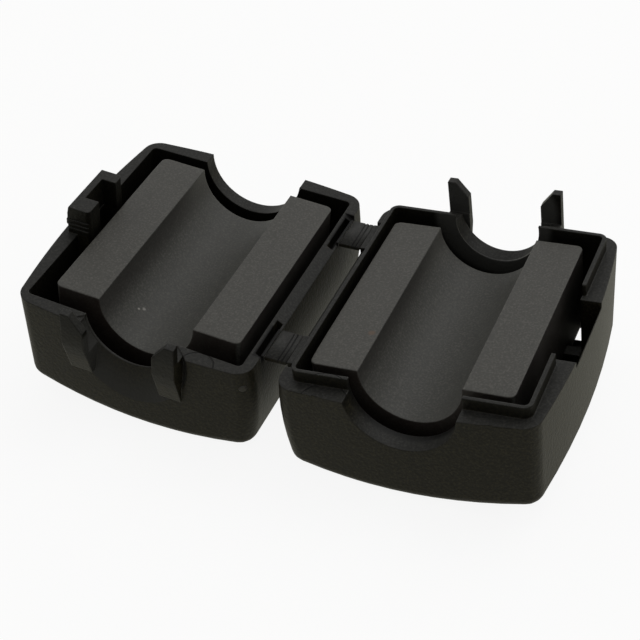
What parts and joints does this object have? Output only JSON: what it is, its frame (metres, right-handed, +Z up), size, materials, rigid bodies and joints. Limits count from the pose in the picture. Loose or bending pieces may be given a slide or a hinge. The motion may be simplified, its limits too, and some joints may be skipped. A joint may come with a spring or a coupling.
{
  "type": "clip-on ferrite bead",
  "caption": "Open clip-on ferrite bead: two moulded half cases on living-hinge straps, each holding half a ferrite core with a half-round cable channel, shut by a snap tongue.",
  "frame": {"origin": "on the table, midway between the two halves as the bead lies open", "axes": "+X from the latch half to the catch half, +Y along the cable to the rear, +Z up"},
  "size_m": [0.0712, 0.0428, 0.0209],
  "materials": {
    "case": "fine-grained moulded black",
    "ferrite": "ground, dull grey"
  },
  "bodies": {
    "straps": {"hinge_strap_rear": "case", "hinge_strap_front": "case"},
    "latch_half": {"latch_shell": "case", "latch_core": "ferrite"},
    "catch_half": {"catch_shell": "case", "catch_core": "ferrite"}
  },
  "joints": [
    {"name": "fold_latch", "type": "hinge", "parent": "straps", "child": "latch_half", "pos_m": [-0.00125, 0, 0.01304], "axis": [0, 1, 0], "range_deg": [0, 84.55]},
    {"name": "fold_catch", "type": "hinge", "parent": "straps", "child": "catch_half", "pos_m": [0.00125, 0, 0.01304], "axis": [0, -1, 0], "range_deg": [0, 84.55]}
  ],
  "couplings": [
    {"joint": "fold_catch", "follows": "fold_latch", "ratio": 1}
  ]
}
